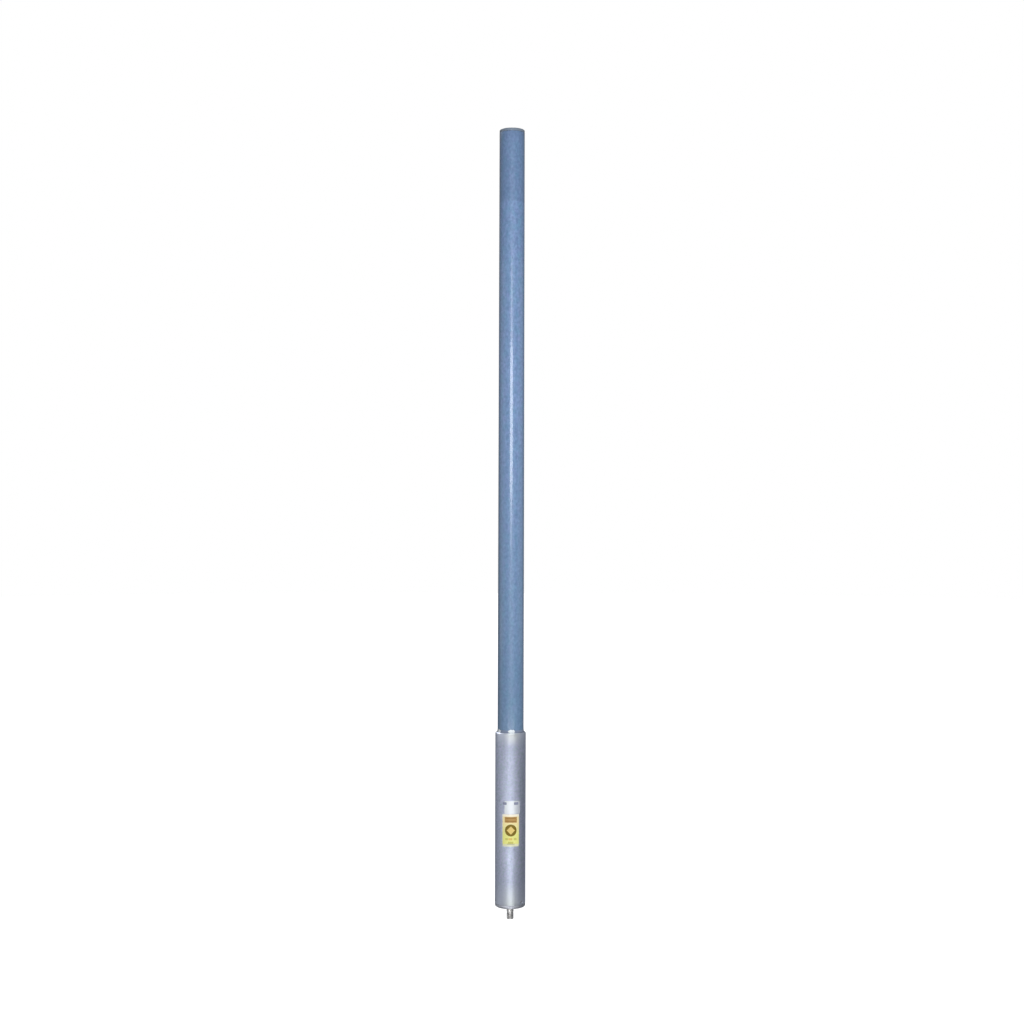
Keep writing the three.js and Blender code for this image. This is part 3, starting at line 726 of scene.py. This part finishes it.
def make_smears():
    """White sealant that was wiped over the bead and up the radome, in patches round it. The two front
    patches are partly painted highlight.
    """
    white = plastic("white_sealant_and_painted_highlight", (0.74, 0.79, 0.84), 0.22, 1.5 * MM, subsurface=0.2, coat=1.0)
    # Painted highlight: the white patches at 273 and 203 degrees stand where the joint shows its brightest
    # highlights.
    patches = (
        (273, 17, 8.5 * MM),
        (203, 25, 6.5 * MM),
        (20, 20, 5 * MM),
        (75, 14, 6.5 * MM),
        (140, 18, 6 * MM),
    )
    for number, (turn, half, rise) in enumerate(patches, 1):
        dress(smear(f"weather_seal_smear_{number}", turn, half, rise), "sealant", material=white)


# ---------------------------------------------------------------------------------------------------
# Sleeve, plug and set screws
# ---------------------------------------------------------------------------------------------------

SCREW_HEIGHT = (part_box("sleeve_set_screw_1")[0].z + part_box("sleeve_set_screw_1")[1].z) / 2
SCREW_TURNS = (-43, 77, 197)
SCREW_RADIUS = 2.5 * MM
SCREW_SINK = 0.5 * MM
SCREW_LENGTH = 12 * MM


def make_sleeve():
    """Tube with a chamfered top and three countersunk holes for the set screws."""
    sleeve = lathe("mounting_sleeve", rounded([
        (SLEEVE_BORE, SLEEVE_LOW.z, 0),
        (SLEEVE_RADIUS, SLEEVE_LOW.z, 0.5 * MM),
        (SLEEVE_RADIUS, SLEEVE_HIGH.z - SLEEVE_CHAMFER, 0.5 * MM),
        (SLEEVE_RADIUS - SLEEVE_CHAMFER, SLEEVE_HIGH.z, 0.4 * MM),
        (SLEEVE_BORE, SLEEVE_HIGH.z, 0.2 * MM),
    ]))
    cutters = []
    clearance = 0.25 * MM
    flare = 1.6 * MM
    outer = SLEEVE_RADIUS + 1 * MM
    for turn in SCREW_TURNS:
        hole = rod("hole", SCREW_RADIUS + clearance, SLEEVE_BORE - 4 * MM, SLEEVE_RADIUS + 3 * MM, 0.1 * MM)
        cutters.append(radial(hole, turn, SCREW_HEIGHT))
        sink = lathe("sink", [(0, outer - flare), (SCREW_RADIUS + 0.1 * MM, outer - flare),
                              (SCREW_RADIUS + flare, outer), (0, outer)], SMALL_STEPS)
        cutters.append(radial(sink, turn, SCREW_HEIGHT))
    carve(sleeve, "DIFFERENCE", cutters)
    dress(sleeve, "sleeve_aluminium", "mounting_sleeve")


def make_plug():
    """Turned plug: rounded flange, spigot in the sleeve, stepped bore, and holes for drains and screws."""
    flange = 8 * MM
    radius = PLUG_HIGH.x
    spigot = SLEEVE_BORE - 0.3 * MM
    bore = 16 * MM
    web = 6 * MM
    jack_hole = 8.3 * MM
    recess, recess_depth = 11.4 * MM, 0.4 * MM
    plug = lathe("base_plug", rounded([
        (jack_hole, recess_depth, 0.2 * MM),
        (recess, recess_depth, 0),
        (recess, PLUG_LOW.z, 0.15 * MM),
        (radius, PLUG_LOW.z, 3.8 * MM),
        (radius, flange, 0.3 * MM),
        (spigot, flange, 0),
        (spigot, PLUG_HIGH.z, 0.5 * MM),
        (bore, PLUG_HIGH.z, 0.5 * MM),
        (bore, web, 0),
        (jack_hole, web, 0.2 * MM),
    ], steps=10))
    cutters = []
    drain_radius, drain_offset = 1.6 * MM, 13.4 * MM
    for turn in (90, 270):
        angle = math.radians(turn)
        drain = rod("drain", drain_radius, -4 * MM, 12 * MM, 0.1 * MM, 32)
        place = (drain_offset * math.cos(angle), drain_offset * math.sin(angle), 0)
        drain.data.transform(Matrix.Translation(place))
        cutters.append(drain)
    root = SLEEVE_RADIUS - SCREW_SINK - SCREW_LENGTH - 0.3 * MM  # a little past the screw's inner end
    for turn in SCREW_TURNS:
        hole = rod("hole", SCREW_RADIUS + 0.15 * MM, root, SLEEVE_RADIUS, 0.1 * MM)
        cutters.append(radial(hole, turn, SCREW_HEIGHT))
    tapped_radius, tapped_offset = 2.2 * MM, 20.5 * MM
    tapped_end = PLUG_HIGH.z - 10 * MM
    tapped = rod("tapped", tapped_radius, tapped_end, PLUG_HIGH.z + 3 * MM, 0.1 * MM, 32)
    tapped.data.transform(Matrix.Translation((tapped_offset, 0, 0)))
    cutters.append(tapped)
    carve(plug, "DIFFERENCE", cutters)
    dress(plug, "plug_aluminium", "base_plug")


def make_set_screws():
    """Headless screws with a hexagonal socket, sunk a little below the sleeve's face."""
    tip = SLEEVE_RADIUS - SCREW_SINK
    key, socket_depth = 2.5 * MM, 2.5 * MM
    for number, turn in enumerate(SCREW_TURNS, 1):
        screw = rod(f"sleeve_set_screw_{number}", SCREW_RADIUS, tip - SCREW_LENGTH, tip, 0.4 * MM, 48)
        socket = prism("socket", key, tip - socket_depth, tip + 0.8 * MM)
        carve(screw, "DIFFERENCE", [socket])
        radial(screw, turn, SCREW_HEIGHT)
        dress(screw, "stainless_steel", f"sleeve_set_screw_{number}")


# ---------------------------------------------------------------------------------------------------
# N jack
# ---------------------------------------------------------------------------------------------------

THREAD_PITCH = 25.4 / 24 * MM
THREAD_RADIUS = 7.94 * MM
THREAD_DEPTH = 0.6 * MM
JACK_MOUTH = 4.05 * MM


def make_jack_body():
    """Body with a 5/8-24 thread, a relief groove behind it and a hexagonal collar."""
    front = JACK_LOW.z
    thread_end = front + 14 * MM
    neck = 8.0 * MM
    collar_low = -4.9 * MM
    collar_high = -1.4 * MM
    collar_flats = 19 * MM

    def threaded(radius, height, angle):
        if radius < THREAD_RADIUS - 0.01 * MM or height > thread_end:
            return radius
        phase = (height / THREAD_PITCH - angle / FULL_TURN) % 1
        ridge = 1 - abs(2 * phase - 1)
        lead_in = min(1, max(0, (height - front) / (1.6 * MM)))
        runout = min(1, max(0, (thread_end - height) / (0.8 * MM)))
        deep = THREAD_DEPTH * (1 - min(1, ridge * 1.15) * lead_in * runout)
        return THREAD_RADIUS - deep

    samples = int((thread_end - front) / (THREAD_PITCH / 10))
    thread = [(THREAD_RADIUS, front + 0.25 * MM + (thread_end - front - 0.25 * MM) * n / samples)
              for n in range(samples + 1)]
    shoulder = -13 * MM
    mating = front + 9.1 * MM
    wide, slim = 5 * MM, 3.5 * MM
    lip = 0.35 * MM
    bore = [(wide, JACK_HIGH.z), (wide, shoulder), (slim, shoulder), (slim, mating),
            (JACK_MOUTH, mating), (JACK_MOUTH, front + lip), (JACK_MOUTH + lip, front)]
    groove = 7.0 * MM
    stem = 7.9 * MM
    rear = [(groove, thread_end + 0.1 * MM), (groove, thread_end + 1.6 * MM), (neck, thread_end + 2.2 * MM),
            (neck, collar_high), (stem, collar_high), (stem, JACK_HIGH.z)]
    body = lathe("n_jack_body", bore + [(THREAD_RADIUS - THREAD_DEPTH, front)] + thread + rear, 96,
                 threaded, sharp=50)
    collar = prism("collar", collar_flats, collar_low, collar_high)
    carve(body, "UNION", [collar], sharp=30)
    dress(body, "nickel_plate", "n_jack_body")


def make_insulator():
    """Ring that holds the centre contact in the body."""
    low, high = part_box("n_jack_insulator")
    seat = high.x
    bore = 1.6 * MM
    insulator = lathe("n_jack_insulator", rounded([
        (bore, low.z, 0.1 * MM),
        (seat, low.z, 0.2 * MM),
        (seat, high.z, 0.2 * MM),
        (bore, high.z, 0.1 * MM),
    ]), SMALL_STEPS)
    dress(insulator, "ptfe", "n_jack_insulator")


def make_centre_contact():
    """Socket contact: a bored pin whose mouth two crossed slots split into four fingers."""
    low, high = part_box("n_jack_centre_contact")
    radius = high.x
    bore = 0.83 * MM
    contact = lathe("n_jack_centre_contact", rounded([
        (0, low.z + 6 * MM, 0),
        (bore, low.z + 5.6 * MM, 0),
        (bore, low.z, 0.2 * MM),
        (radius, low.z, 0.45 * MM),
        (radius, high.z, 0),
        (0, high.z, 0),
    ]), SMALL_STEPS)
    slots = []
    reach, gap = 6 * MM, 0.4 * MM
    for turn in (0, math.pi / 2):
        shape = bmesh.new()
        bmesh.ops.create_cube(shape, size=1)
        slot = finish_mesh("slot", shape)
        slot.data.transform(Matrix.Diagonal((reach, gap, reach, 1)))
        slot.data.transform(Matrix.Rotation(turn, 4, "Z"))
        slot.data.transform(Matrix.Translation((0, 0, low.z + 2 * MM)))
        slots.append(slot)
    carve(contact, "DIFFERENCE", slots)
    dress(contact, "gold_plate", "n_jack_centre_contact")


def make_gasket():
    """O-ring between the collar and the plug."""
    low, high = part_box("n_jack_gasket")
    section = (high.z - low.z) / 2
    middle = high.x - section
    height = (high.z + low.z) / 2
    sides = 20
    turns = [FULL_TURN * n / sides for n in range(sides)]
    outline = [(middle + section * math.cos(t), height + section * math.sin(t)) for t in turns]
    dress(lathe("n_jack_gasket", outline, 96), "rubber", "n_jack_gasket")


# ---------------------------------------------------------------------------------------------------
# Labels
# ---------------------------------------------------------------------------------------------------

FILM = 0.2 * MM
INK = 0.03 * MM
FILM_LIFT = 0.06 * MM
FILM_CORNER = 1.5 * MM
ON_FILM = FILM_LIFT + FILM - 0.01 * MM
ON_INK = ON_FILM + INK


def wrapped(name, radius, thickness, start, end, lower, upper, columns):
    """A thin solid round a tube from angle start to end. lower and upper give the heights of its edges at an
    angle."""
    shape = bmesh.new()
    outer = radius + thickness
    rows = []
    for column in range(columns + 1):
        angle = start + (end - start) * (1 - math.cos(math.pi * column / columns)) / 2
        corners = []
        for reach, edge in ((radius, lower), (radius, upper), (outer, upper), (outer, lower)):
            corners.append(shape.verts.new((reach * math.cos(angle), reach * math.sin(angle), edge(angle))))
        rows.append(corners)
    bridge(shape, rows)
    return finish_mesh(name, shape, sharp=50)


class Label:
    """A label on the sleeve, with its prints. Places on it are metres of arc to the right of its middle, and
    metres up from the sleeve's foot."""

    def __init__(self, node, slot):
        self.node = node
        self.slot = slot
        self.low, self.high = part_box(node)
        left, right = (math.asin(x / -self.low.y) for x in (self.low.x, self.high.x))
        self.middle = (left + right) / 2 - math.pi / 2
        self.wide = (right - left) * SLEEVE_RADIUS
        height = (self.low.z + self.high.z) / 2
        tall = self.high.z - self.low.z
        film = self.block(node, 0, height, self.wide, tall, FILM_CORNER, FILM_LIFT, FILM, 40)
        dress(film, slot, node)

    def cut(self, name, middle, half, lower, upper, lift, thickness, columns):
        """A thin solid on the sleeve that reaches half to each side of middle. lower and upper give the
        heights of its edges at a distance from middle."""
        def across(edge):
            return lambda angle: edge((angle - self.middle) * SLEEVE_RADIUS - middle)

        start = self.middle + (middle - half) / SLEEVE_RADIUS
        end = self.middle + (middle + half) / SLEEVE_RADIUS
        radius = SLEEVE_RADIUS + lift
        return wrapped(name, radius, thickness, start, end, across(lower), across(upper), columns)

    def block(self, name, middle, height, wide, tall, corner, lift, thickness, columns=28):
        """A rectangle with rounded corners. middle and height place its centre."""
        def drop(across):
            into = max(0, wide / 2 - abs(across))
            if into >= corner:
                return 0
            return corner - math.sqrt(corner ** 2 - (corner - into) ** 2)

        return self.cut(name, middle, wide / 2, lambda a: height - tall / 2 + drop(a),
                        lambda a: height + tall / 2 - drop(a), lift, thickness, columns)

    def print(self, name, ink, middle, height, wide, tall, corner, lift=ON_FILM):
        """A printed rectangle with rounded corners, in its own ink."""
        dress(self.block(name, middle, height, wide, tall, corner, lift, INK), self.slot, material=ink)


def make_nameplate():
    """Silver foil with a white panel and two grey marks near its top."""
    plate = Label("nameplate_label", "nameplate_film")
    margin = 0.5 * MM
    left = -16.2 * MM
    right = plate.wide / 2 - margin
    tall = plate.high.z - plate.low.z
    centre = plate.low.z + tall / 2
    plate.print("nameplate_panel", panel_ink(), (left + right) / 2, centre, right - left, tall - 2 * margin,
                FILM_CORNER)
    grey = print_ink("grey_ink", (0.24, 0.26, 0.36))
    row = plate.high.z - 6.4 * MM
    for side, middle, wide in (("left", -15.6 * MM, 9 * MM), ("right", 10.7 * MM, 10.6 * MM)):
        plate.print(f"nameplate_mark_{side}", grey, middle, row, wide, 6 * MM, 1.5 * MM, ON_INK)


def make_caution():
    """Yellow film with a header bar, a round sign and blocks in place of its text."""
    label = Label("caution_label", "caution_film")
    tan = print_ink("tan_ink", (0.45, 0.27, 0.09))
    dark_tan = print_ink("dark_tan_ink", (0.30, 0.17, 0.05))
    bar = label.high.z - 12.5 * MM
    label.print("caution_bar", tan, 0, bar, 28.5 * MM, 13 * MM, 1 * MM)
    for number, rise in enumerate((3.6 * MM, -3.6 * MM), 1):
        label.print(f"caution_bar_line_{number}", dark_tan, 0, bar + rise, 24 * MM, 2.2 * MM, 0.8 * MM,
                    ON_INK)

    centre = label.high.z - 36.5 * MM
    radius = 13.5 * MM
    reach = 9.3 * MM

    def arc(across):
        return math.sqrt(max(0, radius ** 2 - across ** 2))

    def slope(across):
        return reach - abs(across)

    brown = print_ink("brown_ink", (0.19, 0.13, 0.015))
    pale = print_ink("pale_ink", (0.72, 0.54, 0.18))
    sign = label.cut("caution_sign", 0, radius, lambda a: centre - arc(a), lambda a: centre + arc(a),
                     ON_FILM, INK, 48)
    dress(sign, "caution_film", material=brown)
    diamond = label.cut("caution_sign_diamond", 0, reach, lambda a: centre - slope(a),
                        lambda a: centre + slope(a), ON_INK, INK, 48)
    dress(diamond, "caution_film", material=pale)

    olive = print_ink("olive_ink", (0.56, 0.52, 0.14))
    golden = print_ink("golden_ink", (0.68, 0.50, 0.13))
    row = label.low.z + 16.8 * MM
    label.print("caution_line_1", olive, -9.3 * MM, row, 6.6 * MM, 5 * MM, 1 * MM)
    label.print("caution_line_2", golden, -0.9 * MM, row, 8.5 * MM, 5 * MM, 1 * MM)
    label.print("caution_line_3", olive, 10.1 * MM, row, 6.4 * MM, 5 * MM, 1 * MM)
    label.print("caution_line_4", olive, -0.3 * MM, label.low.z + 8.9 * MM, 12.4 * MM, 4.4 * MM, 1 * MM)
    label.print("caution_rule", print_ink("rule_ink", (0.36, 0.36, 0.20)), 0, label.low.z + 5.6 * MM, 18 * MM,
                1.6 * MM, 0.6 * MM)


# ---------------------------------------------------------------------------------------------------
# CAD nodes that keep their own shape
# ---------------------------------------------------------------------------------------------------

def dress_cad_nodes():
    """Each CAD node gets the finish of its slot in the record. The pieces above hide some of them."""
    for part in frame["record"]["subparts"]:
        node = frame["nodes"][part["node"]]
        node.data.materials.clear()
        node.data.materials.append(finishes[part["material_slot"]])


def set_view_transform():
    view = bpy.context.scene.view_settings
    view.view_transform = "Standard"
    view.look = "None"
    view.exposure = 0
    view.gamma = 1


make_camera()
make_world()
make_floor()
make_lights()
set_view_transform()
dress_cad_nodes()
make_radome()
make_cap()
make_seal()
make_smears()
make_sleeve()
make_plug()
make_set_screws()
make_jack_body()
make_insulator()
make_centre_contact()
make_gasket()
make_nameplate()
make_caution()

bpy.context.view_layer.update()
